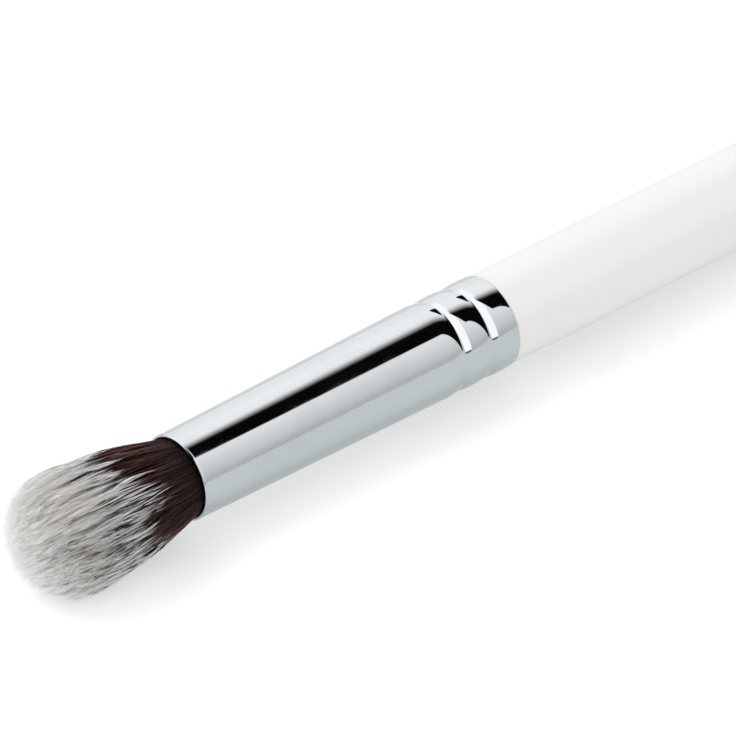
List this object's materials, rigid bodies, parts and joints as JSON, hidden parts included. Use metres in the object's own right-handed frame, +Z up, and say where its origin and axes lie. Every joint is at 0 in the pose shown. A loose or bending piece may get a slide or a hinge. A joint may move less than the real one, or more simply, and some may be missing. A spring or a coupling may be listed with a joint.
{
  "type": "eyeshadow brush",
  "caption": "Tapered eyeshadow blending brush: domed two-tone bristle tuft, plated ferrule with rolled grooves, and a slim white lacquered handle.",
  "frame": {"origin": "on the surface that the brush lies on, below the middle of its length and its axis", "axes": "+X along the brush's axis from the tuft to the handle's tail, +Z up from the surface, +Y completes the right-handed frame"},
  "size_m": [0.1766, 0.01, 0.01],
  "materials": {
    "bristle_fibre": "soft synthetic fibres, dark brown at the roots and grey-white at the tips",
    "thread": "undyed twisted thread",
    "resin": "cured clear amber resin",
    "plated_metal": "polished bright plating",
    "glue": "cured wood glue",
    "lacquered_wood": "satin white lacquer over turned wood"
  },
  "bodies": {
    "root": {"bristles": "bristle_fibre", "binding_thread": "thread", "root_plug": "resin", "ferrule": "plated_metal", "tenon_adhesive": "glue", "handle": "lacquered_wood"}
  },
  "joints": []
}
